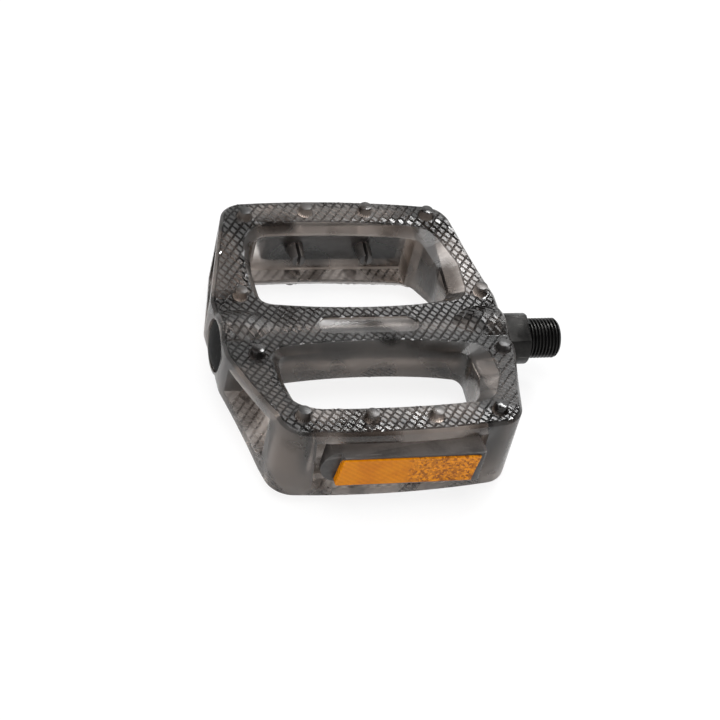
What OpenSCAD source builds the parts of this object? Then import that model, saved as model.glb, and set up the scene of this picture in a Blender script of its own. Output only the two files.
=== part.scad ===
// Flat bicycle pedal for a right-hand crank: a dished resin platform that turns on two
// ball races around a steel spindle, with a snap-in reflector in its front and rear rails.
// The origin is the centre of the shoulder that seats on the crank, +X runs along the
// spindle into the crank, +Y is the rear of the platform and +Z its upper face.

/* [Platform] */
// Distance from the middle of the platform to the crank shoulder
crank_offset = 61; // [60.5:0.1:64]
// Half of the platform's length along the spindle
half_len = 51.9; // [51.6:0.1:52.1]
// Half of the platform's greatest width across the rails
half_width = 58.4; // [58.2:0.1:59]
// Half of the height over the flat rails
rail_z = 15; // [14.8:0.1:15.2]
// Half of the height at the spindle, where the dished faces are lowest
hub_z = 8.7; // [8.6:0.05:9]
// Distance from the spindle at which the dish meets the flat rails
dish_half_width = 47; // [46:0.5:48]
// Radius of the front and rear edges in plan
rail_arc_r = 335; // [320:5:350]
// Bevel around the outer rim of both faces
rim_bevel = 1; // [0.8:0.1:1.4]

/* [Foot openings] */
// Width of the bevel around each opening
opening_bevel = 2.3; // [1.8:0.1:2.6]
// Depth of that bevel
opening_bevel_drop = 2.5; // [2:0.1:2.8]
// Height of the flanges above and below the hollow sides
flange_t = 4.3; // [3.8:0.1:4.6]

/* [Pins] */
// Height of a moulded grip pin
pin_h = 3.2; // [2.6:0.1:3.6]
// Radius of a pin at its foot
pin_foot_r = 2.65; // [2.4:0.05:2.8]
// Radius of a pin at its tip
pin_tip_r = 2.1; // [1.8:0.05:2.2]

/* [Bearings] */
// Radius of a ball, an eighth of an inch across
ball_r = 1.5875; // [1.5:0.0125:1.6]
// Balls in each race
ball_count = 12; // [10:1:12]
// Radius of the circle of ball centres
ball_circle_r = 6.6; // [6.5:0.05:6.7]
// Outer radius of a cup, and of the bore that it is pressed into
cup_r = 9.3; // [9.2:0.05:9.4]
// Play between a ball and its race
race_play = 0.08; // [0.06:0.01:0.1]

/* [Spindle] */
// Radius over the crank thread, nine sixteenths of an inch across
crank_thread_r = 7.144; // [7.1:0.01:7.15]
// Length of the crank thread
crank_thread_len = 12.2; // [12:0.1:15]
// Radius of the collar with the spanner flats
collar_r = 9.1; // [8.9:0.1:9.3]
// Distance across the spanner flats
flats_across = 15; // [14.6:0.1:15.2]
// Turn of the flats away from the platform's faces
flats_turn = 18; // [0:1:30]

/* [Reflectors] */
// Half of the height of a reflector housing
housing_half_h = 6.65; // [6.4:0.05:6.8]
// Distance between a housing's two snap studs
stud_pitch = 25.4; // [24:0.2:26]
// Radius of a snap stud's shank
stud_r = 2.5; // [2.3:0.1:2.6]

/* [Hidden] */
$fn = 48;
tiny = 0.01;
facet_error = 0.015;
straight_step = 6;
clear_z = 25;

// Dish: a cylinder along the spindle whose surface is hub_z high at the middle
dish_rise = rail_z - hub_z;
dish_r = (dish_half_width * dish_half_width + dish_rise * dish_rise) / (2 * dish_rise);

// Circles are [x, y, radius]; corner circles touch the long arcs from inside, so their
// height follows from where they stand along the spindle
rail_arc_x = -9;
rail_arc_y = half_width - rail_arc_r;
function touch_y(x, r, arc_r) =
    rail_arc_y + sqrt(pow(arc_r - r, 2) - pow(x - rail_arc_x, 2));
corner_r = 9.5;
inboard_corner_x = 33.5;
outboard_corner_x = -33.1;
side_r = 10;
side_y = 12.6;
outline_circles = [
    [half_len - side_r, -side_y, side_r],
    [half_len - side_r, side_y, side_r],
    [inboard_corner_x, touch_y(inboard_corner_x, corner_r, rail_arc_r), corner_r],
    [rail_arc_x, rail_arc_y, rail_arc_r],
    [outboard_corner_x, touch_y(outboard_corner_x, corner_r, rail_arc_r), corner_r],
    [side_r - half_len, side_y, side_r],
    [side_r - half_len, -side_y, side_r],
    [outboard_corner_x, -touch_y(outboard_corner_x, corner_r, rail_arc_r), corner_r],
    [rail_arc_x, -rail_arc_y, rail_arc_r],
    [inboard_corner_x, -touch_y(inboard_corner_x, corner_r, rail_arc_r), corner_r]];

// Rear opening, from the bridge over the spindle to the rail
opening_x = 1.5;
bridge_half_w = 8.4;
bridge_arc_r = 250;
rail_top_w = 11.8;
opening_rail_r = rail_arc_r - rail_top_w;
hub_corner_r = 7;
inboard_hub_x = 35;
outboard_hub_x = -29.4;
waist_r = 9.6;
inboard_waist = [32.4, 26];
outboard_waist = [-27.4, 27];
bevel_spread_x = 20;
bevel_spread = 0.76;
rail_corner_r = 11;
inboard_rail_x = 27.5;
outboard_rail_x = -25.3;
function hub_corner_y(x) = bridge_half_w + bridge_arc_r
    - sqrt(pow(bridge_arc_r - hub_corner_r, 2) - pow(x - opening_x, 2));
opening_circles = [
    [opening_x, bridge_half_w + bridge_arc_r, bridge_arc_r],
    [inboard_hub_x, hub_corner_y(inboard_hub_x), hub_corner_r],
    [inboard_waist[0], inboard_waist[1], waist_r],
    [inboard_rail_x, touch_y(inboard_rail_x, rail_corner_r, opening_rail_r), rail_corner_r],
    [rail_arc_x, rail_arc_y, opening_rail_r],
    [outboard_rail_x, touch_y(outboard_rail_x, rail_corner_r, opening_rail_r), rail_corner_r],
    [outboard_waist[0], outboard_waist[1], waist_r],
    [outboard_hub_x, hub_corner_y(outboard_hub_x), hub_corner_r]];

// Hollow sides, between the boss at the hub and the solid corner
pocket_y0 = 17;
pocket_y1 = 45.5;
pocket_x = 37;
pocket_corner_r = 1.5;

// Hollow rails, around the web that carries the reflector
web_outer_y = 51.3;
web_inner_y = 49.5;
rail_pocket_x0 = -28.5;
rail_pocket_x1 = 29.5;
rail_pocket_z = 10.6;
rail_pocket_lean = 1.7;
recess_x0 = -30;
recess_x1 = 29;
recess_reach = 12;
stud_hole_r = stud_r + 0.1;

// Bearings: the ball circles lie at these distances from the middle of the platform
inboard_balls_x = 47.3;
outboard_balls_x = -44.4;
race_r = ball_r + race_play;
cup_back = 3;
cup_front = 2.6;
cup_hole_r = 5.6;
hub_bore_r = 7;

// Bosses: barrels around the cups that swell out of the bridge towards both ends
boss_r = 11.3;
boss_neck_r = 8.2;
boss_len = 9;
boss_swell_len = 14;
boss_edge = 1.2;

// Spindle
neck_r = ball_circle_r - race_r;
shank_end_r = 4.5;
cone_r = ball_circle_r;
seal_land_r = 7;
seal_play = 0.05;
collar_x = 52.9;
inner_thread_r = 4;
inner_thread_x = outboard_balls_x + 1.7;
spindle_end_x = outboard_balls_x - 7.1;
cone_nose = 1.2;
cone_front = 2.8;
washer_t = 0.9;
washer_r = 6.2;
nut_t = 3;
nut_across = 11;
key_w = 2;
key_depth = 1;

// Dust cap
cap_skirt_x = outboard_balls_x - cup_front;
cap_rim_x = -51;
cap_rise = 2.5;
cap_wall = 1.1;

// Reflectors, laid out as [along the spindle, outwards from the spindle]; the housing's
// outboard end is rounded in elevation and stops short of the bezel, where the lens shows
housing_back_y = web_outer_y;
housing_front_y = 60.9;
housing_shoulder_y = 58.5;
housing_x0 = -27.3;
housing_x1 = 28.8;
housing_edge_r = 0.6;
lens_back_y = 58.4;
lens_front_y = 61.6;
lens_play = 0.05;
lens_lean = 1.4;
lens_x0 = -21.2;
lens_x1 = 26;
lens_z = 5.7;
housing_color = [0.1, 0.1, 0.1];
lens_color = [1, 0.5, 0.05, 0.9];

// ---- Outlines -------------------------------------------------------------

// Direction of the outward normal where a belt leaves circle a for circle b
function leave_angle(a, b) =
    let (run = [b[0] - a[0], b[1] - a[1]])
    atan2(run[1], run[0]) - acos(max(-1, min(1, (a[2] - b[2]) / norm(run))));

function positive_angle(a) = a - 360 * floor(a / 360);

function rim_point(circle, inset, a) = [
    circle[0] + (circle[2] - inset) * cos(a),
    circle[1] + (circle[2] - inset) * sin(a)];

function arc_steps(r, sweep) = max(1, ceil(sweep / (2 * acos(1 - facet_error / r))));

// Points of a belt laid counter-clockwise around the circles, drawn in by inset
function belt(circles, inset = 0) =
    let (n = len(circles))
    [for (i = [0:n - 1])
        let (before = circles[(i + n - 1) % n],
            here = circles[i],
            after = circles[(i + 1) % n],
            start = leave_angle(before, here),
            sweep = positive_angle(leave_angle(here, after) - start),
            steps = arc_steps(here[2], sweep),
            arrived = norm(rim_point(before, 0, start) - rim_point(here, 0, start)) < tiny,
            last = rim_point(here, inset, start + sweep),
            next = rim_point(after, inset, start + sweep),
            pieces = ceil(norm(next - last) / straight_step))
        each concat(
            [for (k = [(arrived ? 1 : 0):steps])
                rim_point(here, inset, start + sweep * k / steps)],
            [for (k = [1:1:pieces - 1]) last + (next - last) * k / pieces])];

// Height of the upper face above the spindle
function face_z(y) = abs(y) >= dish_half_width
    ? rail_z
    : hub_z + dish_r - sqrt(dish_r * dish_r - y * y);

// The belt's points, lifted to the upper face or the lower one
function on_upper(circles, inset, drop) =
    [for (p = belt(circles, inset)) [p[0], p[1], face_z(p[1]) - drop]];
function on_lower(circles, inset, drop) =
    [for (p = belt(circles, inset)) [p[0], p[1], drop - face_z(p[1])]];
function at_height(circles, inset, z) =
    [for (p = belt(circles, inset)) [p[0], p[1], z]];

// ---- Shared forms ---------------------------------------------------------

// Solid skinned over a stack of rings, lowest first, all with the same number of points
module ring_stack(rings) {
    n = len(rings[0]);
    top = (len(rings) - 1) * n;
    sides = [for (r = [0:len(rings) - 2]) for (i = [0:n - 1])
        let (a = r * n + i, b = r * n + (i + 1) % n)
        each [[a, a + n, b + n], [a, b + n, b]]];
    polyhedron(
        points = [for (ring = rings) each ring],
        faces = concat([[for (i = [0:n - 1]) i]], sides,
            [[for (i = [n - 1:-1:0]) top + i]]));
}

module in_platform() {
    translate([-crank_offset, 0, 0]) children();
}

// Turns a profile drawn as [distance along +X, radius] around the spindle's axis
module turned() {
    rotate([0, 90, 0]) rotate_extrude($fn = 96) mirror([1, -1]) children();
}

module round_bar(r, x0, x1, sides = 96) {
    translate([x0, 0, 0]) rotate([0, 90, 0]) cylinder(r = r, h = x1 - x0, $fn = sides);
}

module front_and_rear() {
    children();
    mirror([0, 1, 0]) children();
}

module above_and_below() {
    children();
    mirror([0, 0, 1]) children();
}

// ---- Platform -------------------------------------------------------------

// Slab between the two dished faces, each lowered by inset
module dished_slab(inset) {
    difference() {
        cube([120, 130, 2 * (rail_z - inset)], center = true);
        above_and_below()
            translate([0, 0, hub_z - inset + dish_r])
                rotate([0, 90, 0])
                    cylinder(r = dish_r, h = 140, center = true, $fn = 360);
    }
}

module platform_blank() {
    lip = 0.5;
    intersection() {
        dished_slab(0);
        ring_stack([
            at_height(outline_circles, rim_bevel + lip, -clear_z),
            on_lower(outline_circles, rim_bevel + lip, -lip),
            on_lower(outline_circles, 0, rim_bevel),
            on_upper(outline_circles, 0, rim_bevel),
            on_upper(outline_circles, rim_bevel + lip, -lip),
            at_height(outline_circles, rim_bevel + lip, clear_z)]);
    }
}

// The wall next to the crank stands further in, so the bevel above it is wide
function waist_x(x) = x > bevel_spread_x
    ? bevel_spread_x + (x - bevel_spread_x) * bevel_spread
    : x;
function waisted(ring) = [for (p = ring) [waist_x(p[0]), p[1], p[2]]];

module foot_opening() {
    lip = 0.4;
    ring_stack([
        at_height(opening_circles, -lip, -clear_z),
        on_lower(opening_circles, -lip, -lip),
        waisted(on_lower(opening_circles, opening_bevel, opening_bevel_drop)),
        waisted(on_upper(opening_circles, opening_bevel, opening_bevel_drop)),
        on_upper(opening_circles, -lip, -lip),
        at_height(opening_circles, -lip, clear_z)]);
}

// Hollows that open outwards through the two sides, rear half
module side_hollows() {
    reach = 30;
    intersection() {
        dished_slab(flange_t);
        linear_extrude(height = 2 * rail_z, center = true)
            for (x = [pocket_x, -pocket_x - reach])
                offset(r = pocket_corner_r) offset(delta = -pocket_corner_r)
                    translate([x, pocket_y0]) square([reach, pocket_y1 - pocket_y0]);
    }
}

// Pocket behind the reflector, the recess on the rail's inner side and the stud holes
module rail_hollows() {
    outwards(web_outer_y, web_outer_y + 20)
        polygon([
            [rail_pocket_x0, -rail_pocket_z],
            [rail_pocket_x1, -rail_pocket_z],
            [rail_pocket_x1, rail_pocket_z],
            [rail_pocket_x0 - rail_pocket_lean, rail_pocket_z]]);
    translate([recess_x0, web_inner_y - recess_reach, -rail_pocket_z])
        cube([recess_x1 - recess_x0, recess_reach, 2 * rail_pocket_z]);
    for (side = [-1, 1])
        translate([side * stud_pitch / 2, web_inner_y - 1, 0])
            rotate([-90, 0, 0])
                cylinder(r = stud_hole_r, h = web_outer_y - web_inner_y + 2);
}

// Grip pins of the rear half of the upper face
module pins() {
    for (spot = [[34, 49.5], [11.2, 51.6], [-11.2, 51.6], [-34, 49.5], [46.6, 14.6], [-41.4, 14.6]])
        translate([spot[0], spot[1], face_z(spot[1]) - 1])
            cylinder(r1 = pin_foot_r + (pin_foot_r - pin_tip_r) / pin_h, r2 = pin_tip_r,
                h = pin_h + 1, $fn = 32);
}

// Smooth panel sunk into the bridge's top
module bridge_panel() {
    panel_len = 36;
    panel_w = 7.6;
    panel_depth = 0.6;
    translate([1.7, -0.4, hub_z - panel_depth])
        linear_extrude(height = 5)
            for (side = [-1, 1]) {
                translate([side * (panel_len - panel_w) / 2, 0]) circle(d = panel_w);
                square([panel_len - panel_w, panel_w], center = true);
            }
}

// Barrel at the +X end; its swell eases in and out along a half wave
module boss() {
    start = half_len - boss_len - boss_swell_len;
    steps = 12;
    turned()
        polygon(concat(
            [[start, 0]],
            [for (i = [0:steps])
                [start + boss_swell_len * i / steps,
                    boss_neck_r + (boss_r - boss_neck_r) * (1 - cos(180 * i / steps)) / 2]],
            [[half_len - boss_edge, boss_r],
                [half_len, boss_r - boss_edge],
                [half_len, 0]]));
}

module bosses() {
    boss();
    mirror([1, 0, 0]) boss();
}

module hub_bores() {
    round_bar(hub_bore_r, -half_len - 1, half_len + 1);
    round_bar(cup_r, inboard_balls_x - cup_back, half_len + 1);
    round_bar(cup_r, -half_len - 1, outboard_balls_x + cup_back);
}

module pedal_body() {
    color([0.3, 0.27, 0.26, 0.85])
        in_platform()
            difference() {
                union() {
                    difference() {
                        platform_blank();
                        front_and_rear() {
                            foot_opening();
                            side_hollows();
                            rail_hollows();
                        }
                        bridge_panel();
                    }
                    bosses();
                    above_and_below() front_and_rear() pins();
                }
                hub_bores();
            }
}

// ---- Bearings -------------------------------------------------------------

// Cup seen with its open side towards +X, the ball circle's plane at zero
module cup() {
    turned()
        difference() {
            translate([-cup_back, cup_hole_r])
                square([cup_back + cup_front, cup_r - cup_hole_r]);
            translate([0, 0]) square([cup_front + 1, ball_circle_r + race_r]);
            translate([-race_r, 0]) square([race_r + 1, ball_circle_r]);
            translate([0, ball_circle_r]) circle(r = race_r, $fn = 96);
        }
}

module inboard_cup() {
    color("silver")
        in_platform()
            translate([inboard_balls_x, 0, 0]) cup();
}

module outboard_cup() {
    color("silver")
        in_platform()
            translate([outboard_balls_x, 0, 0]) mirror([1, 0, 0]) cup();
}

module ball_ring(x) {
    in_platform()
        for (i = [0:ball_count - 1])
            translate([x, 0, 0])
                rotate([i * 360 / ball_count, 0, 0])
                    translate([0, ball_circle_r, 0]) sphere(r = ball_r, $fn = 48);
}

module inboard_balls() {
    color("gainsboro") ball_ring(inboard_balls_x);
}

module outboard_balls() {
    color("gainsboro") ball_ring(outboard_balls_x);
}

// ---- Spindle --------------------------------------------------------------

module collar_with_flats() {
    difference() {
        round_bar(collar_r, collar_x, crank_offset);
        rotate([flats_turn, 0, 0])
            above_and_below()
                translate([collar_x - 1, -collar_r - 1, flats_across / 2])
                    cube([crank_offset - collar_x + 2, 2 * collar_r + 2, collar_r]);
    }
}

// Profile of everything turned, from the inner thread to the crank thread
module spindle_profile() {
    end_chamfer = 1;
    taper_end = inboard_balls_x - 4;
    thread_end = crank_offset + crank_thread_len;
    difference() {
        polygon([
            [spindle_end_x, 0],
            [spindle_end_x, inner_thread_r - 0.5],
            [spindle_end_x + 0.5, inner_thread_r],
            [inner_thread_x, inner_thread_r],
            [inner_thread_x, shank_end_r],
            [taper_end, neck_r],
            [inboard_balls_x, neck_r],
            [inboard_balls_x, cone_r],
            [inboard_balls_x + race_r, cone_r],
            [inboard_balls_x + race_r, seal_land_r],
            [collar_x + 1, seal_land_r],
            [collar_x + 1, crank_thread_r],
            [thread_end - end_chamfer, crank_thread_r],
            [thread_end, crank_thread_r - end_chamfer],
            [thread_end, 0]]);
        translate([inboard_balls_x, ball_circle_r]) circle(r = race_r, $fn = 96);
    }
}

module spindle() {
    centre_drill_r = 1.6;
    color([0.08, 0.08, 0.085])
        in_platform()
            difference() {
                union() {
                    turned() spindle_profile();
                    collar_with_flats();
                }
                translate([spindle_end_x - 1, -key_w / 2, inner_thread_r - key_depth])
                    cube([inner_thread_x - spindle_end_x + 1, key_w, key_depth + 1]);
                translate([crank_offset + crank_thread_len - centre_drill_r, 0, 0])
                    rotate([0, 90, 0])
                        cylinder(r1 = 0, r2 = 2 * centre_drill_r, h = 2 * centre_drill_r, $fn = 32);
            }
}

// Screwed along the inner thread until the balls run without play
module adjusting_cone() {
    front = outboard_balls_x - cone_front;
    color("dimgray")
        in_platform()
            turned()
                difference() {
                    translate([front, inner_thread_r])
                        square([cone_front + cone_nose, cone_r - inner_thread_r]);
                    translate([outboard_balls_x, ball_circle_r]) circle(r = race_r, $fn = 96);
                    translate([outboard_balls_x, neck_r])
                        square([cone_nose + 1, cone_r]);
                }
}

module keyed_washer() {
    back = outboard_balls_x - cone_front;
    key_play = 0.1;
    color("silver")
        in_platform() {
            difference() {
                round_bar(washer_r, back - washer_t, back);
                round_bar(inner_thread_r, back - washer_t - 1, back + 1);
            }
            translate([back - washer_t, -key_w / 2 + key_play, inner_thread_r - key_depth + key_play])
                cube([washer_t, key_w - 2 * key_play, key_depth]);
        }
}

module locknut() {
    back = outboard_balls_x - cone_front - washer_t;
    corner_r = nut_across / sqrt(3);
    color("silver")
        in_platform()
            difference() {
                intersection() {
                    round_bar(corner_r, back - nut_t, back, 6);
                    turned()
                        polygon([
                            [back, 0],
                            [back, corner_r],
                            [back - nut_t + 0.6, corner_r],
                            [back - nut_t, corner_r - 0.9],
                            [back - nut_t, 0]]);
                }
                round_bar(inner_thread_r, back - nut_t - 1, back + 1);
            }
}

// Rubber ring that fills the hub's inner end around the spindle
module spindle_seal() {
    back = inboard_balls_x + cup_front;
    front = half_len - 0.2;
    color([0.06, 0.06, 0.06])
        in_platform()
            turned()
                polygon([
                    [back, seal_land_r + seal_play],
                    [front, seal_land_r + seal_play],
                    [front, cup_r - 0.5],
                    [front - 0.5, cup_r],
                    [back, cup_r]]);
}

// Domed plug with a skirt that grips the hub's outer end
module dust_cap() {
    dome_r = (cup_r * cup_r + cap_rise * cap_rise) / (2 * cap_rise);
    dome_x = cap_rim_x - cap_rise + dome_r;
    color([0.2, 0.2, 0.2])
        in_platform()
            turned()
                difference() {
                    union() {
                        intersection() {
                            translate([dome_x, 0]) circle(r = dome_r, $fn = 180);
                            translate([cap_rim_x - cap_rise - 1, 0]) square([cap_rise + 1, cup_r]);
                        }
                        translate([cap_rim_x - tiny, 0]) square([cap_skirt_x - cap_rim_x + tiny, cup_r]);
                    }
                    translate([dome_x, 0]) circle(r = dome_r - cap_wall, $fn = 180);
                    translate([cap_rim_x - tiny, 0])
                        square([cap_skirt_x - cap_rim_x + 1, cup_r - cap_wall]);
                    translate([cap_rim_x - cap_rise - 1, -2 * cup_r]) square([20, 2 * cup_r]);
                }
}

// ---- Reflectors -----------------------------------------------------------

// Outline of the lens in [x, z], with leaning ends
module lens_outline(play) {
    offset(delta = play)
        polygon([
            [lens_x0 + lens_lean / 2, -lens_z],
            [lens_x1 + lens_lean / 2, -lens_z],
            [lens_x1 - lens_lean / 2, lens_z],
            [lens_x0 - lens_lean / 2, lens_z]]);
}

// Extrudes an [x, z] outline outwards between two distances from the spindle
module outwards(y0, y1) {
    translate([0, y1, 0]) rotate([90, 0, 0]) linear_extrude(height = y1 - y0) children();
}

module snap_stud() {
    head_y = 42.6;
    slit_w = 1.2;
    difference() {
        rotate([-90, 0, 0]) {
            translate([0, 0, web_inner_y - 0.05])
                cylinder(r = stud_r, h = housing_back_y - web_inner_y + 0.55, $fn = 32);
            translate([0, 0, head_y])
                cylinder(r1 = stud_r - 0.1, r2 = stud_r + 0.6, h = web_inner_y - 0.05 - head_y, $fn = 32);
        }
        translate([-slit_w / 2, head_y - 1, -2 * stud_r])
            cube([slit_w, web_outer_y - head_y, 4 * stud_r]);
    }
}

// Plan of a housing in [x, y], with its inboard end slightly bowed
module housing_plan() {
    offset(r = housing_edge_r) offset(delta = -housing_edge_r)
        polygon([
            [housing_x0 + 3, housing_back_y],
            [housing_x1 - 1.4, housing_back_y],
            [housing_x1 - 0.4, 55.4],
            [housing_x1, 58.2],
            [housing_x1 - 0.1, 60],
            [housing_x1 - 0.8, housing_front_y],
            [lens_x0 + 0.5, housing_front_y],
            [lens_x0, housing_shoulder_y],
            [housing_x0, housing_shoulder_y],
            [housing_x0, 56.6]]);
}

// Elevation of a housing in [x, z]
module housing_elevation() {
    end_r = housing_half_h;
    hull() {
        translate([housing_x0 + end_r, 0]) circle(r = end_r, $fn = 64);
        translate([housing_x1, -housing_half_h]) square([1, 2 * housing_half_h]);
    }
}

module reflector_housing() {
    cavity_half_z = 4.6;
    cavity_floor_y = 53;
    cavity_margin = 3;
    difference() {
        intersection() {
            linear_extrude(height = 2 * housing_half_h + 1, center = true) housing_plan();
            outwards(housing_back_y - 1, housing_front_y + 1) housing_elevation();
        }
        outwards(lens_back_y, housing_front_y + 5) lens_outline(lens_play);
        translate([lens_x0 + cavity_margin, cavity_floor_y, -cavity_half_z])
            cube([lens_x1 - lens_x0 - 2 * cavity_margin, 10, 2 * cavity_half_z]);
    }
    for (side = [-1, 1])
        translate([side * stud_pitch / 2, 0, 0]) snap_stud();
}

module reflector_lens() {
    outwards(lens_back_y, lens_front_y) lens_outline(0);
}

module rear_reflector_housing() {
    color(housing_color) in_platform() reflector_housing();
}

module rear_reflector_lens() {
    color(lens_color) in_platform() reflector_lens();
}

// The front reflector is the same part, turned half around the spindle
module front_reflector_housing() {
    color(housing_color) in_platform() rotate([180, 0, 0]) reflector_housing();
}

module front_reflector_lens() {
    color(lens_color) in_platform() rotate([180, 0, 0]) reflector_lens();
}

pedal_body();
outboard_cup();
inboard_cup();
outboard_balls();
inboard_balls();
spindle();
adjusting_cone();
keyed_washer();
locknut();
spindle_seal();
dust_cap();
front_reflector_housing();
front_reflector_lens();
rear_reflector_housing();
rear_reflector_lens();
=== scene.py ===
import math

import bpy
from mathutils import Matrix, Vector


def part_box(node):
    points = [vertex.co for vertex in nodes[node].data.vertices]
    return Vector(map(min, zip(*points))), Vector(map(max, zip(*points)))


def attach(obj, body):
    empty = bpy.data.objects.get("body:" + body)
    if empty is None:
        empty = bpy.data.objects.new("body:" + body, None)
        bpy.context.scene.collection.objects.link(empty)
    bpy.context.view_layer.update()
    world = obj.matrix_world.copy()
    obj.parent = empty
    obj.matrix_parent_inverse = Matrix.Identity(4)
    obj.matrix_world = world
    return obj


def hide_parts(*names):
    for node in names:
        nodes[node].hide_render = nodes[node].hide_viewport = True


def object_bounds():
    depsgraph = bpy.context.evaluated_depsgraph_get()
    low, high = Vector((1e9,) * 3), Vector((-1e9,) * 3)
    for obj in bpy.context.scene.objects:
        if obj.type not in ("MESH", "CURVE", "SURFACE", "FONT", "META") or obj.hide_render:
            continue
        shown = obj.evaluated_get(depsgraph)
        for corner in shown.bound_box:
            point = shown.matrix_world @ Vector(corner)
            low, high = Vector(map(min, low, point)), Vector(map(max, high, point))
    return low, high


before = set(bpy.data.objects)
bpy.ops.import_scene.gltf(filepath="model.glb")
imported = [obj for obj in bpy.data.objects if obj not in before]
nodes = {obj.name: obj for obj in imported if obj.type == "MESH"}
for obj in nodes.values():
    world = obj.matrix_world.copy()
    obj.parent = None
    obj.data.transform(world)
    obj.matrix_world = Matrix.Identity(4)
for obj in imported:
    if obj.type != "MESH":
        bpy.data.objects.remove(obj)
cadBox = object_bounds()
scene = bpy.context.scene
print("frame loaded:", len(nodes), "nodes")

mm = 0.001
middleX = -61 * mm  # middle of the platform along the spindle

meshCare = {
    "mergeDistance": 0.004 * mm,
    "flatDegrees": 0.3,
    "cutTolerance": 0.002 * mm,
}


# helpers that work on one mesh at a time

def pickOnly(obj):
    bpy.ops.object.select_all(action="DESELECT")
    obj.select_set(True)
    bpy.context.view_layer.objects.active = obj


def copyOfNode(nodeName, pieceName):
    # a CAD node's mesh is loose triangles, so its copy is merged before anything else
    source = nodes[nodeName]
    piece = source.copy()
    piece.data = source.data.copy()
    piece.name = pieceName
    piece.parent = None
    piece.data.materials.clear()
    scene.collection.objects.link(piece)
    pickOnly(piece)
    bpy.ops.mesh.customdata_custom_splitnormals_clear()
    bpy.ops.object.mode_set(mode="EDIT")
    bpy.ops.mesh.select_all(action="SELECT")
    bpy.ops.mesh.remove_doubles(threshold=meshCare["mergeDistance"])
    bpy.ops.mesh.dissolve_limited(angle_limit=math.radians(meshCare["flatDegrees"]))
    bpy.ops.object.mode_set(mode="OBJECT")
    return piece


def applyModifier(piece, kind, **settings):
    modifier = piece.modifiers.new(kind.lower(), kind)
    for key, value in settings.items():
        setattr(modifier, key, value)
    pickOnly(piece)
    bpy.ops.object.modifier_apply(modifier=modifier.name)


def easeEdges(piece, width, degrees, segments=2):
    applyModifier(piece, "BEVEL", width=width, segments=segments, limit_method="ANGLE",
                  angle_limit=math.radians(degrees), use_clamp_overlap=True)


def smoothPiece(piece, degrees):
    pickOnly(piece)
    bpy.ops.object.shade_smooth_by_angle(angle=math.radians(degrees))


def selectFaces(piece, wanted):
    # call in object mode: leaves exactly the wanted faces selected for edit mode
    mesh = piece.data
    for vert in mesh.vertices:
        vert.select = False
    for edge in mesh.edges:
        edge.select = False
    for face in mesh.polygons:
        face.select = wanted(face)


def addSlots(piece, material, count):
    # the same finish several times, so that groups of faces can be told apart while modelling
    for slot in range(count):
        piece.data.materials.append(material)


def cutSlot(piece, slot, normal, spacing, reach, seam=False):
    # in edit mode: parallel cuts through the faces that are in one material slot
    piece.active_material_index = slot
    steps = int(reach / spacing)
    middle = Vector((middleX, 0, 0))
    for k in range(-steps, steps + 1):
        bpy.ops.mesh.select_all(action="DESELECT")
        bpy.ops.object.material_slot_select()
        bpy.ops.mesh.bisect(plane_co=middle + normal * spacing * k, plane_no=normal,
                            threshold=meshCare["cutTolerance"])
        if seam:
            bpy.ops.mesh.mark_seam()


def patchWidth(face, piece):
    points = [piece.data.vertices[i].co for i in face.vertices]
    around = sum((points[i] - points[i - 1]).length for i in range(len(points)))
    return 2 * face.area / around


def finishPiece(piece, body, slotName, material, *replaced):
    piece.data.materials.clear()
    piece.data.materials.append(material)
    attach(piece, body)
    if replaced:
        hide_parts(*replaced)
    print("  ", piece.name, len(piece.data.polygons), "faces")


# helpers for shader nodes

def addNode(tree, kind, x=0, y=0, **settings):
    node = tree.nodes.new(kind)
    node.location = (x, y)
    for key, value in settings.items():
        setattr(node, key, value)
    return node


def setSockets(node, **values):
    for key, value in values.items():
        node.inputs[key.replace("_", " ")].default_value = value
    return node


def feed(tree, socket, source):
    # a source is another node's output, or a plain number or colour
    if isinstance(source, bpy.types.NodeSocket):
        tree.links.new(source, socket)
    else:
        socket.default_value = source


def addMath(tree, operation, x, y, *sources):
    node = addNode(tree, "ShaderNodeMath", x, y, operation=operation)
    for index, source in enumerate(sources):
        feed(tree, node.inputs[index], source)
    return node.outputs[0]


def addNoise(tree, vector, scale, x, y, **values):
    noise = addNode(tree, "ShaderNodeTexNoise", x, y)
    setSockets(noise, **values)
    feed(tree, noise.inputs["Vector"], vector)
    feed(tree, noise.inputs["Scale"], scale)
    return noise.outputs["Fac"]


def addRange(tree, source, x, y, interpolation="LINEAR", **values):
    spread = addNode(tree, "ShaderNodeMapRange", x, y, interpolation_type=interpolation)
    setSockets(spread, **values)
    feed(tree, spread.inputs["Value"], source)
    return spread.outputs["Result"]


def mixColours(tree, factor, first, second, x, y, blend="MIX"):
    mix = addNode(tree, "ShaderNodeMix", x, y, data_type="RGBA", blend_type=blend)
    feed(tree, mix.inputs["Factor"], factor)
    feed(tree, mix.inputs[6], first)
    feed(tree, mix.inputs[7], second)
    return mix.outputs[2]


def mixNumbers(tree, factor, first, second, x, y):
    mix = addNode(tree, "ShaderNodeMix", x, y, data_type="FLOAT")
    feed(tree, mix.inputs["Factor"], factor)
    feed(tree, mix.inputs[2], first)
    feed(tree, mix.inputs[3], second)
    return mix.outputs[0]


def mixShaders(tree, factor, first, second, x, y):
    mix = addNode(tree, "ShaderNodeMixShader", x, y)
    feed(tree, mix.inputs["Fac"], factor)
    feed(tree, mix.inputs[1], first)
    feed(tree, mix.inputs[2], second)
    return mix.outputs["Shader"]


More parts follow.
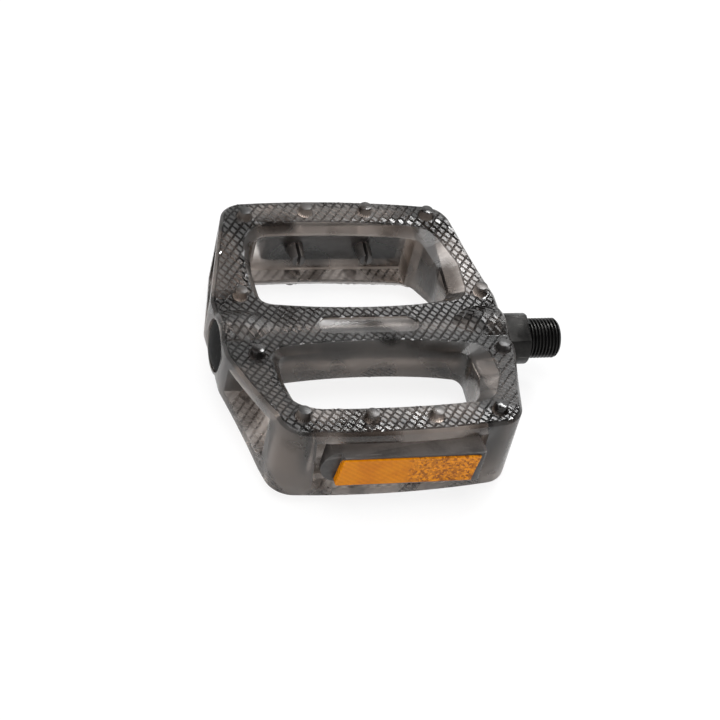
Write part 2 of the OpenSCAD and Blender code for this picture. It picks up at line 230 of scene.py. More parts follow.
def newGroup(name, inputs, outputs):
    group = bpy.data.node_groups.new(name, "ShaderNodeTree")
    for label, kind, value in inputs:
        socket = group.interface.new_socket(label, in_out="INPUT", socket_type=kind)
        if value is not None:
            socket.default_value = value
    for label, kind in outputs:
        group.interface.new_socket(label, in_out="OUTPUT", socket_type=kind)
    entry = addNode(group, "NodeGroupInput", -900, 0)
    leave = addNode(group, "NodeGroupOutput", 900, 0)
    return group, entry.outputs, leave.inputs


# moulded mottle: a slow cloud and a finer speck, spread between two colours
def makeMouldMottle():
    group, given, result = newGroup("mouldMottle", [
        ("Vector", "NodeSocketVector", None),
        ("Light Colour", "NodeSocketColor", (0.5, 0.5, 0.5, 1)),
        ("Dark Colour", "NodeSocketColor", (0.2, 0.2, 0.2, 1)),
        ("Cloud Scale", "NodeSocketFloat", 60.0),
        ("Cloud Detail", "NodeSocketFloat", 3.0),
        ("Speck Scale", "NodeSocketFloat", 600.0),
        ("Speck Share", "NodeSocketFloat", 0.35)],
        [("Colour", "NodeSocketColor"), ("Mask", "NodeSocketFloat")])
    cloudNode = addNode(group, "ShaderNodeTexNoise", -600, 200)
    setSockets(cloudNode, Roughness=0.55, Distortion=0.4)
    for groupInput, socket in (("Vector", "Vector"), ("Cloud Scale", "Scale"), ("Cloud Detail", "Detail")):
        feed(group, cloudNode.inputs[socket], given[groupInput])
    speck = addNoise(group, given["Vector"], given["Speck Scale"], -600, -100, Detail=2.0, Roughness=0.6)
    centred = addMath(group, "SUBTRACT", -450, -100, speck, 0.5)
    both = addMath(group, "MULTIPLY_ADD", -300, 100, centred, given["Speck Share"], cloudNode.outputs["Fac"])
    mask = addRange(group, both, 0, 100, "SMOOTHSTEP", From_Min=0.3, From_Max=0.62)
    colour = mixColours(group, mask, given["Dark Colour"], given["Light Colour"], 400, 0)
    feed(group, result["Colour"], colour)
    feed(group, result["Mask"], mask)
    return group


# hairline scuffs: two stretched noises, cut off so that only thin marks are left
def makeHairScuffs():
    group, given, result = newGroup("hairScuffs", [
        ("Vector", "NodeSocketVector", None),
        ("Scale", "NodeSocketFloat", 90.0),
        ("Amount", "NodeSocketFloat", 0.5)],
        [("Mask", "NodeSocketFloat")])
    marks = []
    for turn, offset in ((0.6, 0.0), (-0.9, 3.7)):
        y = 200 - 80 * offset
        mapping = addNode(group, "ShaderNodeMapping", -700, y)
        setSockets(mapping, Rotation=(0.3, 0.2, turn), Location=(offset, offset, 0), Scale=(1.0, 14.0, 4.0))
        feed(group, mapping.inputs["Vector"], given["Vector"])
        noise = addNoise(group, mapping.outputs["Vector"], given["Scale"], -450, y,
                         Detail=2.0, Roughness=0.5, Distortion=0.1)
        marks.append(addRange(group, noise, -200, y, From_Min=0.66, From_Max=0.74))
    both = addMath(group, "MAXIMUM", 100, 0, *marks)
    feed(group, result["Mask"], addMath(group, "MULTIPLY", 400, 0, both, given["Amount"]))
    return group


# fine grain: height of a moulded or ground skin, with a slower wave under it
def makeSkinGrain():
    group, given, result = newGroup("skinGrain", [
        ("Vector", "NodeSocketVector", None),
        ("Scale", "NodeSocketFloat", 1500.0),
        ("Waviness", "NodeSocketFloat", 0.4)],
        [("Height", "NodeSocketFloat")])
    grain = addNoise(group, given["Vector"], given["Scale"], -500, 150, Detail=2.0, Roughness=0.6)
    slowScale = addMath(group, "MULTIPLY", -700, -150, given["Scale"], 0.11)
    wave = addNoise(group, given["Vector"], slowScale, -500, -150, Detail=1.0, Roughness=0.5)
    feed(group, result["Height"], mixNumbers(group, given["Waviness"], grain, wave, 0, 0))
    return group


# worn edges: high on convex edges, broken up by noise
def makeEdgeWear():
    group, given, result = newGroup("edgeWear", [
        ("Vector", "NodeSocketVector", None),
        ("Pointiness", "NodeSocketFloat", 0.5),
        ("Start", "NodeSocketFloat", 0.52),
        ("Scale", "NodeSocketFloat", 300.0)],
        [("Mask", "NodeSocketFloat")])
    noise = addNoise(group, given["Vector"], given["Scale"], -500, -100, Detail=3.0, Roughness=0.6)
    edgeNode = addNode(group, "ShaderNodeMapRange", -200, 100)
    edgeNode.inputs["From Max"].default_value = 0.6
    feed(group, edgeNode.inputs["Value"], given["Pointiness"])
    feed(group, edgeNode.inputs["From Min"], given["Start"])
    feed(group, result["Mask"], addMath(group, "MULTIPLY", 200, 0, edgeNode.outputs["Result"], noise))
    return group


mouldMottle = makeMouldMottle()
hairScuffs = makeHairScuffs()
skinGrain = makeSkinGrain()
edgeWear = makeEdgeWear()


def placeGroup(tree, group, vector, x, y, **values):
    node = addNode(tree, "ShaderNodeGroup", x, y, node_tree=group)
    setSockets(node, **values)
    feed(tree, node.inputs["Vector"], vector)
    return node


def startMaterial(name):
    material = bpy.data.materials.new(name)
    material.use_nodes = True
    tree = material.node_tree
    tree.nodes.clear()
    surface = addNode(tree, "ShaderNodeOutputMaterial", 1100, 0)
    shader = addNode(tree, "ShaderNodeBsdfPrincipled", 600, 0)
    coords = addNode(tree, "ShaderNodeTexCoord", -900, 0)
    feed(tree, surface.inputs["Surface"], shader.outputs["BSDF"])
    return material, shader, surface, coords.outputs["Object"]


def addGrain(tree, shader, vector, fin):
    grain = placeGroup(tree, skinGrain, vector, -500, -350,
                       Scale=fin["grainScale"], Waviness=fin["grainWaves"])
    bump = addNode(tree, "ShaderNodeBump", 300, -300)
    setSockets(bump, Strength=fin["bump"], Distance=fin["bumpHeight"])
    feed(tree, bump.inputs["Height"], grain.outputs["Height"])
    feed(tree, shader.inputs["Normal"], bump.outputs["Normal"])


def feedRoughness(tree, shader, mask, limits):
    low, high = limits
    feed(tree, shader.inputs["Roughness"], addRange(tree, mask, 300, -100, To_Min=low, To_Max=high))


resinFinish = {
    "clearColour": (0.97, 0.94, 0.92, 1),
    "cloudyColour": (0.16, 0.143, 0.133, 1),
    # painted shade: the next colour, and the tread, stud and pin amounts further down, darken the knurl, its
    # grooves and the pins
    "paintedShadeColour": (0.05, 0.045, 0.043, 1),
    "cloudScale": 75.0,
    "cloudDetail": 0.5,
    "speckScale": 500.0,
    "speckShare": 0.06,
    # painted shade amounts for the upper treads, the stud tops, the lower treads and the pins; the upper
    # treads get more than the lower ones
    "treadPaintedShade": 0.97,
    "studTopShadeShare": 0.8,          # the studs' tops get this share of the painted shade, so the grooves get more of it and look deeper
    "lowerTreadPaintedShade": 0.62,
    "pinPaintedShade": 0.8,
    "absorbColour": (0.478, 0.42, 0.375, 1),
    "absorbDensity": 235.0,
    "shadowTint": (0.86, 0.84, 0.83, 1),
    "rough": (0.17, 0.36),
    "scuffScale": 70.0,
    "scuffs": 0.6,
    "grainScale": 1100.0,
    "grainWaves": 0.55,
    "bump": 0.08,
    "bumpHeight": 0.1 * mm,
    "ior": 1.49,
    "gloss": 0.2,
    "transmission": 0.972,
}


def makeSmokeResin():
    material, shader, surface, vector = startMaterial("smokeResin")
    tree = material.node_tree
    fin = resinFinish
    mottle = placeGroup(tree, mouldMottle, vector, -500, 200,
                        Cloud_Scale=fin["cloudScale"], Cloud_Detail=fin["cloudDetail"],
                        Speck_Scale=fin["speckScale"], Speck_Share=fin["speckShare"],
                        Light_Colour=fin["clearColour"], Dark_Colour=fin["cloudyColour"])
    # painted shade: a face attribute pulls the treads' colour towards a near-black, so the knurl looks
    # darker than the smooth faces
    treadShade = addNode(tree, "ShaderNodeAttribute", -500, 450, attribute_name="treadShade")
    colour = mixColours(tree, treadShade.outputs["Fac"], mottle.outputs["Colour"], fin["paintedShadeColour"], 100, 300)
    feed(tree, shader.inputs["Base Color"], colour)
    scuff = placeGroup(tree, hairScuffs, vector, -500, -100, Scale=fin["scuffScale"], Amount=fin["scuffs"])
    rough = addMath(tree, "MAXIMUM", 0, -100, mottle.outputs["Mask"], scuff.outputs["Mask"])
    feedRoughness(tree, shader, rough, fin["rough"])
    addGrain(tree, shader, vector, fin)
    setSockets(shader, IOR=fin["ior"], Specular_IOR_Level=fin["gloss"],
               Transmission_Weight=fin["transmission"])
    absorb = addNode(tree, "ShaderNodeVolumeAbsorption", 600, -500)
    setSockets(absorb, Color=fin["absorbColour"], Density=fin["absorbDensity"])
    feed(tree, surface.inputs["Volume"], absorb.outputs["Volume"])
    # lamps shine through the resin instead of stopping at its skin
    clear = addNode(tree, "ShaderNodeBsdfTransparent", 600, 300)
    clear.inputs["Color"].default_value = fin["shadowTint"]
    ray = addNode(tree, "ShaderNodeLightPath", 600, 650)
    shown = mixShaders(tree, ray.outputs["Is Shadow Ray"], shader.outputs["BSDF"], clear.outputs["BSDF"],
                       900, 100)
    feed(tree, surface.inputs["Surface"], shown)
    return material


# what all the black mouldings share, and what all the steel shares
mouldedSkin = {
    "cloudScale": 110.0,
    "speckScale": 900.0,
    "scuffScale": 110.0,
    "scuffs": 0.7,
    "wearStart": 0.52,
    "wearScale": 400.0,
    "grainScale": 1800.0,
    "grainWaves": 0.35,
    "bumpHeight": 0.12 * mm,
    "metal": 0.0,
    "ior": 1.45,
}
steelSkin = {
    "cloudScale": 160.0,
    "speckScale": 1400.0,
    "scuffScale": 160.0,
    "scuffs": 0.5,
    "wearStart": 0.53,
    "wearScale": 500.0,
    "grainScale": 2200.0,
    "grainWaves": 0.2,
    "bump": 0.2,
    "bumpHeight": 0.06 * mm,
    "ior": 1.5,
    "gloss": 0.5,
}

wornFinishes = {
    "blackHousing": dict(mouldedSkin, rough=(0.3, 0.44), bump=0.3, gloss=0.45,
                         light=(0.044, 0.041, 0.0395, 1),
                         dark=(0.02, 0.0192, 0.0188, 1),
                         worn=(0.1056, 0.0984, 0.0948, 1)),
    "greyCap": dict(mouldedSkin, rough=(0.6, 0.8), bump=0.5, gloss=0.1,
                    light=(0.012, 0.012, 0.012, 1),
                    dark=(0.006, 0.006, 0.006, 1),
                    worn=(0.0288, 0.0288, 0.0288, 1)),
    "rubberSeal": dict(mouldedSkin, rough=(0.6, 0.8), bump=0.5, gloss=0.3,
                       light=(0.03, 0.03, 0.03, 1),
                       dark=(0.014, 0.014, 0.014, 1),
                       worn=(0.072, 0.072, 0.072, 1)),
    "groundSteel": dict(steelSkin, rough=(0.2, 0.4), metal=1.0,
                        light=(0.33, 0.32, 0.31, 1),
                        dark=(0.15, 0.14, 0.13, 1),
                        worn=(0.6, 0.58, 0.56, 1)),
    "raceSteel": dict(steelSkin, rough=(0.25, 0.42), metal=1.0,
                      light=(0.09, 0.087, 0.085, 1),
                      dark=(0.035, 0.033, 0.032, 1),
                      worn=(0.3, 0.29, 0.28, 1)),
    "blackenedSteel": dict(steelSkin, rough=(0.3, 0.46), metal=0.9,
                           light=(0.014, 0.014, 0.0137, 1),
                           dark=(0.006, 0.006, 0.006, 1),
                           worn=(0.11, 0.105, 0.1, 1)),
}


def makeWornSkin(name):
    material, shader, surface, vector = startMaterial(name)
    tree = material.node_tree
    fin = wornFinishes[name]
    mottle = placeGroup(tree, mouldMottle, vector, -500, 200,
                        Cloud_Scale=fin["cloudScale"], Speck_Scale=fin["speckScale"],
                        Light_Colour=fin["light"], Dark_Colour=fin["dark"])
    # scuffs and worn edges are paler than the skin
    scuff = placeGroup(tree, hairScuffs, vector, -500, -100, Scale=fin["scuffScale"], Amount=fin["scuffs"])
    geometry = addNode(tree, "ShaderNodeNewGeometry", -900, -500)
    wear = placeGroup(tree, edgeWear, vector, -500, -600, Start=fin["wearStart"], Scale=fin["wearScale"])
    feed(tree, wear.inputs["Pointiness"], geometry.outputs["Pointiness"])
    marks = addMath(tree, "MAXIMUM", -150, -100, scuff.outputs["Mask"], wear.outputs["Mask"])
    colour = mixColours(tree, marks, mottle.outputs["Colour"], fin["worn"], 100, 200)
    feed(tree, shader.inputs["Base Color"], colour)
    feedRoughness(tree, shader, mottle.outputs["Mask"], fin["rough"])
    addGrain(tree, shader, vector, fin)
    setSockets(shader, Metallic=fin["metal"], IOR=fin["ior"], Specular_IOR_Level=fin["gloss"])
    return material


lensFinish = {
    "paleColour": (0.51, 0.17, 0.001, 1),
    "deepColour": (0.43, 0.13, 0.001, 1),
    # painted glints: the next two colours are bright and dark prism cells, standing in for the light the
    # prisms throw back
    "glintPaintedBright": (0.66, 0.24, 0.008, 1),
    "glintPaintedDark": (0.09, 0.022, 0.008, 1),
    "paintedGlintShare": 0.75,
    "cloudScale": 160.0,
    "speckScale": 1300.0,
    "lineSpacing": 1.5 * mm,
    "lineDegrees": -32,
    "lineShare": 0.12,
    "cellSize": 0.8 * mm,
    "glintFrom": 3.0 * mm,     # the painted glints fade in between these two, along the spindle from the platform's middle
    "glintFull": 6.6 * mm,     # from the platform's middle
    "raggedness": 3.0 * mm,
    "rough": (0.08, 0.2),
    "grainScale": 900.0,
    "grainWaves": 0.6,
    "bump": 0.12,
    "bumpHeight": 0.1 * mm,
    "ior": 1.45,
    "gloss": 0.2,
}
waveBand = 0.314  # width of one band of a wave texture at scale 1


def makeAmberLens():
    material, shader, surface, vector = startMaterial("amberLens")
    tree = material.node_tree
    fin = lensFinish
    # smooth part: faint slanting lines in the amber
    mottle = placeGroup(tree, mouldMottle, vector, -500, 500,
                        Cloud_Scale=fin["cloudScale"], Speck_Scale=fin["speckScale"],
                        Light_Colour=fin["paleColour"], Dark_Colour=fin["deepColour"])
    turn = addNode(tree, "ShaderNodeMapping", -700, 250)
    turn.inputs["Rotation"].default_value = (0, math.radians(fin["lineDegrees"]), 0)
    feed(tree, turn.inputs["Vector"], vector)
    lines = addNode(tree, "ShaderNodeTexWave", -500, 250, wave_type="BANDS", bands_direction="Z")
    setSockets(lines, Scale=waveBand / fin["lineSpacing"], Distortion=1.2, Detail=2.0, Detail_Scale=4.0)
    feed(tree, lines.inputs["Vector"], turn.outputs["Vector"])
    lined = mixColours(tree, fin["lineShare"], mottle.outputs["Colour"], lines.outputs["Color"], -200, 400,
                       blend="MULTIPLY")
    # prism part: painted glints, each small cell gets its own painted brightness, bright or dark, standing
    # in for the light the prisms throw back
    cells = addNode(tree, "ShaderNodeTexVoronoi", -500, -50)
    setSockets(cells, Scale=1 / fin["cellSize"], Randomness=0.85)
    feed(tree, cells.inputs["Vector"], vector)
    shade = addNode(tree, "ShaderNodeSeparateColor", -300, -50)
    feed(tree, shade.inputs["Color"], cells.outputs["Color"])
    paintedGlints = mixColours(tree, shade.outputs["Red"], fin["glintPaintedDark"], fin["glintPaintedBright"], -50, -50)
    # where the painted glints begin, with a ragged edge
    apart = addNode(tree, "ShaderNodeSeparateXYZ", -700, -400)
    feed(tree, apart.inputs["Vector"], vector)
    ragged = addMath(tree, "MULTIPLY_ADD", -300, -400, shade.outputs["Green"], fin["raggedness"],
                     apart.outputs["X"])
    begin = addRange(tree, ragged, -50, -400, From_Min=middleX + fin["glintFrom"],
                     From_Max=middleX + fin["glintFull"])
    share = addMath(tree, "MULTIPLY", 150, -400, begin, fin["paintedGlintShare"])
    feed(tree, shader.inputs["Base Color"], mixColours(tree, share, lined, paintedGlints, 300, 200))
    feedRoughness(tree, shader, mottle.outputs["Mask"], fin["rough"])
    addGrain(tree, shader, vector, fin)
    setSockets(shader, IOR=fin["ior"], Specular_IOR_Level=fin["gloss"])
    return material


smokeResin = makeSmokeResin()
blackHousing = makeWornSkin("blackHousing")
greyCap = makeWornSkin("greyCap")
rubberSeal = makeWornSkin("rubberSeal")
groundSteel = makeWornSkin("groundSteel")
raceSteel = makeWornSkin("raceSteel")
blackenedSteel = makeWornSkin("blackenedSteel")
amberLens = makeAmberLens()
print("materials ready")


# platform: the CAD shape with rounded edges, and a knurl cut into both treads

platformShell = {
    "edgeRound": 0.28 * mm,
    "edgeDegrees": 28,
    "hubZ": 8.7 * mm,          # height of the dish at the spindle
    "dishHalfWidth": 47 * mm,
    "dishRadius": 178.47 * mm,
    "railZ": 15 * mm,
    "treadBand": 0.08 * mm,    # how far a tread's face may lie off the dish
    "treadFacing": 0.9962,     # and how well it has to face the same way
    "bossRadius": 11.3 * mm,
    "bossFromMiddle": 27 * mm,
    "bossHalfWidth": 10 * mm,
    "bossBand": 0.05 * mm,
    "bossFacing": 0.76,
    "bossEndFacing": 0.45,
    "pinRise": 0.5 * mm,       # a pin stands this far over the dish and clear of the bosses
    "pinClearance": 11.6 * mm,
    "firstLines": (2.15 * mm, 41.0),   # spacing, and direction of the normal in degrees
    "secondLines": (2.80 * mm, 142.0),
    "lineReach": 90 * mm,
    "flatDegrees": 18,
    "grooveHalfWidth": 0.46 * mm,
    "studHeight": 0.42 * mm,
    "shortEdge": 0.2 * mm,
    "leastStud": 0.62 * mm,    # a smaller patch at the edge stays flat
    "smoothDegrees": 30,
}


def dishHeight(y):
    shape = platformShell
    if abs(y) >= shape["dishHalfWidth"]:
        return shape["railZ"]
    return shape["hubZ"] + shape["dishRadius"] - math.sqrt(shape["dishRadius"] ** 2 - y * y)


def onTread(face):
    shape = platformShell
    x, y, z = face.center
    side = 1 if face.normal.z > 0 else -1
    rise = side * z - dishHeight(y)
    lean = y / shape["dishRadius"] if abs(y) < shape["dishHalfWidth"] else 0
    facing = Vector((0, -math.sin(lean), side * math.cos(lean)))
    if abs(rise) < shape["treadBand"] and facing.dot(face.normal) > shape["treadFacing"]:
        return True
    # the bosses swell up out of the dish towards both ends
    band = shape["bossBand"]
    nearEnd = abs(x - middleX) > shape["bossFromMiddle"] and abs(y) < shape["bossHalfWidth"]
    onBoss = nearEnd and math.hypot(y, z) < shape["bossRadius"] + band and rise > band
    facesUp = side * face.normal.z > shape["bossFacing"] and abs(face.normal.x) < shape["bossEndFacing"]
    return onBoss and facesUp


def onPin(face):
    shape = platformShell
    x, y, z = face.center
    overBoss = abs(y) <= shape["bossHalfWidth"] and math.hypot(y, z) <= shape["pinClearance"]
    return abs(z) - dishHeight(y) > shape["pinRise"] and not overBoss


def makePlatformShell():
    shape = platformShell
    piece = copyOfNode("pedal_body", "platformShell")
    easeEdges(piece, shape["edgeRound"], shape["edgeDegrees"])
    addSlots(piece, smokeResin, 3)   # smooth faces, treads, stud tops
    for face in piece.data.polygons:
        face.material_index = 1 if onTread(face) else 0
    print("  tread faces", sum(f.material_index for f in piece.data.polygons))

    # two families of lines are cut into the treads, and only those are left in them
    pickOnly(piece)
    bpy.ops.object.mode_set(mode="EDIT")
    bpy.ops.mesh.select_mode(type="EDGE")  # so that each new cut stays selected and can be marked
    for spacing, degrees in (shape["firstLines"], shape["secondLines"]):
        normal = Vector((math.cos(math.radians(degrees)), math.sin(math.radians(degrees)), 0))
        cutSlot(piece, 1, normal, spacing, shape["lineReach"], seam=True)
    bpy.ops.mesh.select_all(action="DESELECT")
    bpy.ops.object.material_slot_select()
    bpy.ops.mesh.dissolve_limited(angle_limit=math.radians(shape["flatDegrees"]),
                                  delimit={"SEAM", "MATERIAL"})
    bpy.ops.mesh.dissolve_degenerate(threshold=shape["shortEdge"])
    bpy.ops.mesh.select_mode(type="FACE")
    bpy.ops.object.mode_set(mode="OBJECT")

    # each patch between the lines is raised to a flat-topped stud
    selectFaces(piece, lambda f: f.material_index == 1 and patchWidth(f, piece) > shape["leastStud"])
    print("  knurl studs", sum(f.select for f in piece.data.polygons))
    piece.active_material_index = 2
    bpy.ops.object.mode_set(mode="EDIT")
    bpy.ops.mesh.inset(thickness=shape["grooveHalfWidth"], depth=shape["studHeight"], use_individual=True)
    bpy.ops.object.material_slot_assign()
    bpy.ops.mesh.select_all(action="SELECT")
    bpy.ops.mesh.mark_seam(clear=True)
    bpy.ops.object.mode_set(mode="OBJECT")
    smoothPiece(piece, shape["smoothDegrees"])

    # how much painted shade each face gets, for the finish to read: grooves more than stud tops, upper
    # treads more than lower ones, and some on the pins
    treadShade = piece.data.attributes.new("treadShade", "FLOAT", "FACE")
    for face in piece.data.polygons:
        if face.material_index > 0:
            side = "treadPaintedShade" if face.center.z > 0 else "lowerTreadPaintedShade"
            share = 1.0 if face.material_index == 1 else resinFinish["studTopShadeShare"]
            treadShade.data[face.index].value = resinFinish[side] * share
        elif onPin(face):
            treadShade.data[face.index].value = resinFinish["pinPaintedShade"]
        face.material_index = 0
    finishPiece(piece, "platform", "smoke_resin", smokeResin, "pedal_body")


makePlatformShell()
print("platform shell ready")


# spindle: the CAD shape with eased edges, and a real thread cut into its end

spindleThread = {
    "edgeRound": 0.22 * mm,
    "edgeDegrees": 28,
    "pitch": 1.27 * mm,
    "rootRadius": 6.4 * mm,
    "crestRadius": 7.5 * mm,   # the cutter stands a little proud of the crest
    "rootHalfWidth": 0.08 * mm,
    "mouthHalfWidth": 0.68 * mm,
    "startX": 0.55 * mm,
    "turns": 10,
    "stepsPerTurn": 48,
    "seamDistance": 0.001 * mm,
    "smoothDegrees": 32,
}


def makeThreadedSpindle():
    shape = spindleThread
    piece = copyOfNode("spindle", "threadedSpindle")
    easeEdges(piece, shape["edgeRound"], shape["edgeDegrees"])
    # the cutter is a V that winds along the spindle, four corners swept by a screw
    bpy.ops.object.select_all(action="DESELECT")
    bpy.ops.mesh.primitive_plane_add(size=2 * mm, location=(0, 0, 0))
    cutter = bpy.context.active_object
    start, root, mouth = shape["startX"], shape["rootHalfWidth"], shape["mouthHalfWidth"]
    corners = ((start - root, shape["rootRadius"]), (start + root, shape["rootRadius"]),
               (start + mouth, shape["crestRadius"]), (start - mouth, shape["crestRadius"]))
    for index, (x, z) in zip((0, 1, 3, 2), corners):
        cutter.data.vertices[index].co = (x, 0, z)
    applyModifier(cutter, "SCREW", axis="X", angle=math.radians(360), screw_offset=shape["pitch"],
                  iterations=shape["turns"], steps=shape["stepsPerTurn"], render_steps=shape["stepsPerTurn"],
                  use_merge_vertices=False)
    pickOnly(cutter)
    bpy.ops.object.mode_set(mode="EDIT")
    bpy.ops.mesh.select_all(action="SELECT")
    bpy.ops.mesh.remove_doubles(threshold=shape["seamDistance"])
    bpy.ops.mesh.fill_holes(sides=0)
    bpy.ops.mesh.normals_make_consistent(inside=False)
    bpy.ops.object.mode_set(mode="OBJECT")
    applyModifier(piece, "BOOLEAN", operation="DIFFERENCE", object=cutter, solver="EXACT")
    bpy.data.objects.remove(cutter)
    smoothPiece(piece, shape["smoothDegrees"])
    finishPiece(piece, "spindle_set", "blackened_steel", blackenedSteel, "spindle")


makeThreadedSpindle()
print("spindle ready")


# reflectors: rounded housings, and lenses with a rim, a field of small prisms and a beaded end

reflectorShape = {
    "edgeDegrees": 35,
    "housingRound": 0.45 * mm,
    "housingSmoothDegrees": 35,
    "lensRound": 0.22 * mm,
    "lensSmoothDegrees": 8,
    "rimWidth": 0.75 * mm,
    "rimDrop": 0.06 * mm,
    "faceFacing": 0.999,
    "faceBand": 0.05 * mm,
    "prismPitch": 1.25 * mm,
    "prismTurns": (33.0, 93.0, 153.0),   # three families of cuts make small triangles
    "prismReach": 40 * mm,
    "prismDepth": 0.16 * mm,
    "prismStart": 3.2 * mm,      # along the spindle, from the platform's middle
    "leastPatch": 0.12 * mm,
    "endFacing": 0.8,
    "endLeastArea": 3 * mm * mm,
    "beadPitch": 1.45 * mm,
    "beadReach": 10 * mm,
    "beadEdge": 0.3 * mm,
    "beadHeight": 0.3 * mm,
}


def makeHousing(nodeName, pieceName):
    shape = reflectorShape
    piece = copyOfNode(nodeName, pieceName)
    easeEdges(piece, shape["housingRound"], shape["edgeDegrees"], segments=3)
    smoothPiece(piece, shape["housingSmoothDegrees"])
    finishPiece(piece, "platform", "black_plastic", blackHousing, nodeName)


def makeLens(nodeName, pieceName):
    shape = reflectorShape
    piece = copyOfNode(nodeName, pieceName)
    low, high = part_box(nodeName)
    outward = 1 if low.y > 0 else -1
    faceY = outward * max(abs(low.y), abs(high.y))
    easeEdges(piece, shape["lensRound"], shape["edgeDegrees"])
    addSlots(piece, amberLens, 3)   # whole lens, prism field, beads on the outboard end
    pickOnly(piece)
    selectFaces(piece, lambda f: -f.normal.x > shape["endFacing"] and f.area > shape["endLeastArea"])
    piece.active_material_index = 2
    bpy.ops.object.mode_set(mode="EDIT")
    bpy.ops.object.material_slot_assign()
    bpy.ops.object.mode_set(mode="OBJECT")

    # the outer face gets its rim, and is cut into triangles
    selectFaces(piece, lambda f: f.normal.y * outward > shape["faceFacing"]
                and abs(f.center.y - faceY) < shape["faceBand"])
    piece.active_material_index = 1
    bpy.ops.object.mode_set(mode="EDIT")
    bpy.ops.mesh.inset(thickness=shape["rimWidth"], depth=-shape["rimDrop"])
    bpy.ops.object.material_slot_assign()
    bpy.ops.mesh.select_mode(type="EDGE")
    for degrees in shape["prismTurns"]:
        normal = Vector((math.cos(math.radians(degrees)), 0, math.sin(math.radians(degrees))))
        cutSlot(piece, 1, normal, shape["prismPitch"], shape["prismReach"])
    cutSlot(piece, 2, Vector((0, 0, 1)), shape["beadPitch"], shape["beadReach"])
    bpy.ops.mesh.select_mode(type="FACE")
    bpy.ops.object.mode_set(mode="OBJECT")

    selectFaces(piece, lambda f: f.material_index == 2 and patchWidth(f, piece) > shape["leastPatch"])
    print("  beads", sum(f.select for f in piece.data.polygons))
    bpy.ops.object.mode_set(mode="EDIT")
    bpy.ops.mesh.inset(thickness=shape["beadEdge"], depth=shape["beadHeight"], use_individual=True)
    bpy.ops.object.mode_set(mode="OBJECT")

    # only the inboard part has prisms, each triangle poked inwards
    selectFaces(piece, lambda f: f.material_index == 1 and patchWidth(f, piece) > shape["leastPatch"]
                and f.center.x - middleX > shape["prismStart"])
    bpy.ops.object.mode_set(mode="EDIT")
    bpy.ops.mesh.poke(offset=-shape["prismDepth"])
    bpy.ops.object.mode_set(mode="OBJECT")
    for face in piece.data.polygons:
        face.material_index = 0
    smoothPiece(piece, shape["lensSmoothDegrees"])
    finishPiece(piece, "platform", "amber_lens", amberLens, nodeName)


makeHousing("front_reflector_housing", "frontHousing")
makeHousing("rear_reflector_housing", "rearHousing")
makeLens("front_reflector_lens", "frontLens")
makeLens("rear_reflector_lens", "rearLens")
print("reflectors ready")


# dust cap: the CAD shape with its edges eased

endCapShape = {
    "edgeRound": 0.2 * mm,
    "edgeDegrees": 30,
    "smoothDegrees": 30,
}


def makeEndCap():
    shape = endCapShape
    piece = copyOfNode("dust_cap", "endCap")
    easeEdges(piece, shape["edgeRound"], shape["edgeDegrees"])
    smoothPiece(piece, shape["smoothDegrees"])
    finishPiece(piece, "platform", "grey_plastic", greyCap, "dust_cap")


makeEndCap()
print("cap ready")

# the hidden parts keep their CAD shape and only get their finish
for nodeName, material in (
        ("outboard_cup", raceSteel), ("inboard_cup", raceSteel),
        ("outboard_balls", groundSteel), ("inboard_balls", groundSteel),
        ("adjusting_cone", groundSteel), ("keyed_washer", groundSteel), ("locknut", groundSteel),
        ("spindle_seal", rubberSeal)):
    nodes[nodeName].data.materials.clear()
    nodes[nodeName].data.materials.append(material)


# floor, soft light and camera

stageSettings = {
    "floorZ": cadBox[0].z - 0.05 * mm,
    "floorHalf": 3.0,
    "floorLight": (0.9, 0.9, 0.9, 1),
    "floorDark": (0.88, 0.88, 0.88, 1),
    "litShare": 0.16,        # how much of the lamps' light and shadow the floor keeps
    "litFrom": 0.15,         # and the distances between which it fades out
    "litTo": 0.7,
    "worldStrength": 0.2,
    "ceilingStart": 0.15,    # sine of the height over the horizon
    "ceilingEnd": 0.55,
    "ceilingStrength": 0.05,
}


def makeFloor():
    s = stageSettings
    bpy.ops.object.select_all(action="DESELECT")
    bpy.ops.mesh.primitive_plane_add(size=2 * s["floorHalf"], location=(middleX, 0, s["floorZ"]))
    floor = bpy.context.active_object
    floor.name = "floor"
    material, shader, surface, vector = startMaterial("paleFloor")
    tree = material.node_tree
    mottle = placeGroup(tree, mouldMottle, vector, -500, 200, Cloud_Scale=3.0, Speck_Scale=40.0,
                        Light_Colour=s["floorLight"], Dark_Colour=s["floorDark"])
    feed(tree, shader.inputs["Base Color"], mottle.outputs["Colour"])
    setSockets(shader, Roughness=0.9, Specular_IOR_Level=0.0)
    # seen by the camera, in gloss or through the resin, the floor is white and keeps a faint shadow
    glow = addNode(tree, "ShaderNodeEmission", 600, 300)
    glow.inputs["Strength"].default_value = 1.0
    ray = addNode(tree, "ShaderNodeLightPath", 100, 650)
    seen = addMath(tree, "MAXIMUM", 350, 500, ray.outputs["Is Camera Ray"], ray.outputs["Is Glossy Ray"])
    seen = addMath(tree, "MAXIMUM", 550, 500, seen, ray.outputs["Is Transmission Ray"])
    away = addNode(tree, "ShaderNodeVectorMath", 100, 900, operation="LENGTH")
    feed(tree, away.inputs[0], vector)
    plain = addRange(tree, away.outputs["Value"], 350, 900, "SMOOTHSTEP", From_Min=s["litFrom"],
                     From_Max=s["litTo"], To_Min=1 - s["litShare"], To_Max=1.0)
    share = addMath(tree, "MULTIPLY", 750, 500, seen, plain)
    white = mixShaders(tree, share, shader.outputs["BSDF"], glow.outputs["Emission"], 900, 100)
    # from below the floor is open, so that the underside can be looked at
    geometry = addNode(tree, "ShaderNodeNewGeometry", 750, 800)
    opened = addNode(tree, "ShaderNodeBsdfTransparent", 750, -200)
    oneWay = mixShaders(tree, geometry.outputs["Backfacing"], white, opened.outputs["BSDF"], 1050, 200)
    feed(tree, surface.inputs["Surface"], oneWay)
    floor.data.materials.append(material)


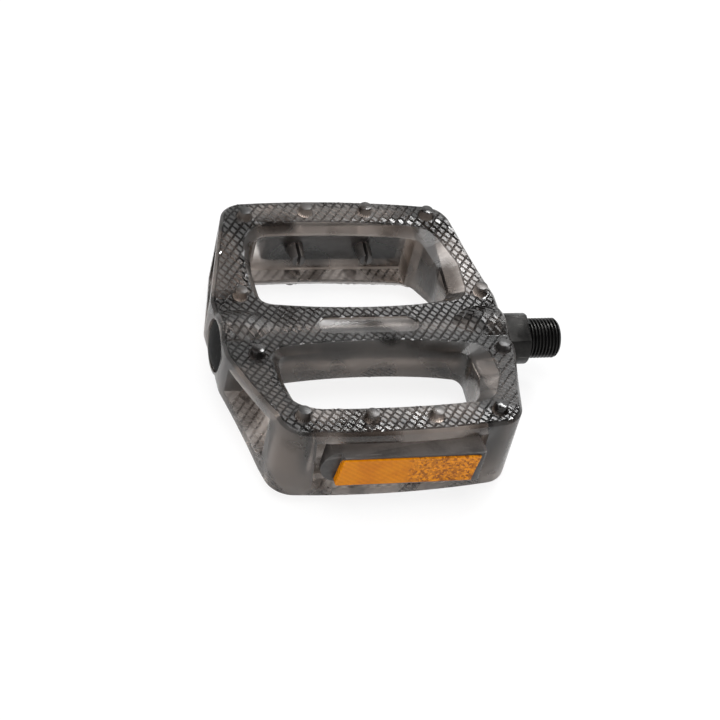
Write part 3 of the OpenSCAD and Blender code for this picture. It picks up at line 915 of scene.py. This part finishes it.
def makeWorld():
    s = stageSettings
    world = bpy.data.worlds.new("studio")
    scene.world = world
    world.use_nodes = True
    tree = world.node_tree
    tree.nodes.clear()
    surface = addNode(tree, "ShaderNodeOutputWorld", 600, 0)
    back = addNode(tree, "ShaderNodeBackground", 300, 0)
    back.inputs["Color"].default_value = (1, 1, 1, 1)
    # gloss and resin see a white room under a dim ceiling, the camera sees plain white
    ray = addNode(tree, "ShaderNodeLightPath", -500, 0)
    seen = addMath(tree, "MAXIMUM", -300, 100, ray.outputs["Is Glossy Ray"],
                   ray.outputs["Is Transmission Ray"])
    coords = addNode(tree, "ShaderNodeTexCoord", -700, -400)
    apart = addNode(tree, "ShaderNodeSeparateXYZ", -500, -400)
    feed(tree, apart.inputs["Vector"], coords.outputs["Generated"])
    room = addRange(tree, apart.outputs["Z"], -300, -400, "SMOOTHSTEP", From_Min=s["ceilingStart"],
                    From_Max=s["ceilingEnd"], To_Min=1.0, To_Max=s["ceilingStrength"])
    lit = mixNumbers(tree, seen, s["worldStrength"], room, -50, -200)
    feed(tree, back.inputs["Strength"], mixNumbers(tree, ray.outputs["Is Camera Ray"], lit, 1.0, 120, 0))
    feed(tree, surface.inputs["Surface"], back.outputs["Background"])


# name: position relative to the platform's middle, size, power
softLamps = {
    "softAbove": ((-0.2, -0.1, 0.9), (0.9, 0.7), 10.5),
    "softBehind": ((0.5, 0.8, 0.6), (0.9, 0.5), 2.0),
    "softFront": ((-0.5, -0.9, 0.3), (0.6, 0.5), 4.0),
    "stripBehind": ((0.27, 0.29, 0.49), (0.24, 0.1), 2.2),
}


def makeLamps():
    middle = Vector((middleX, 0, 0))
    for name, (place, size, power) in softLamps.items():
        lamp = bpy.data.lights.new(name, "AREA")
        lamp.shape = "RECTANGLE"
        lamp.size, lamp.size_y = size
        lamp.energy = power
        obj = bpy.data.objects.new(name, lamp)
        scene.collection.objects.link(obj)
        obj.location = middle + Vector(place)
        obj.rotation_euler = (-Vector(place)).to_track_quat("-Z", "Y").to_euler()


cameraView = {
    "place": (-0.292575, -0.533874, 0.519349),
    "right": (0.95456995, -0.22938391, 0.19020839),
    "up": (0.02491566, 0.69751563, 0.71613627),
    "back": (-0.29694346, -0.67886299, 0.67154271),
    "lens": 111.98,
    "sensor": 36,
    "clip": (0.05, 20),
}


def makeCamera():
    v = cameraView
    data = bpy.data.cameras.new("camera")
    data.lens = v["lens"]
    data.sensor_width = v["sensor"]
    data.clip_start, data.clip_end = v["clip"]
    camera = bpy.data.objects.new("camera", data)
    scene.collection.objects.link(camera)
    turn = Matrix((v["right"], v["up"], v["back"])).transposed().to_4x4()
    camera.matrix_world = Matrix.Translation(v["place"]) @ turn
    scene.camera = camera


makeFloor()
makeWorld()
makeLamps()
makeCamera()
scene.view_settings.view_transform = "Standard"
print("stage ready")
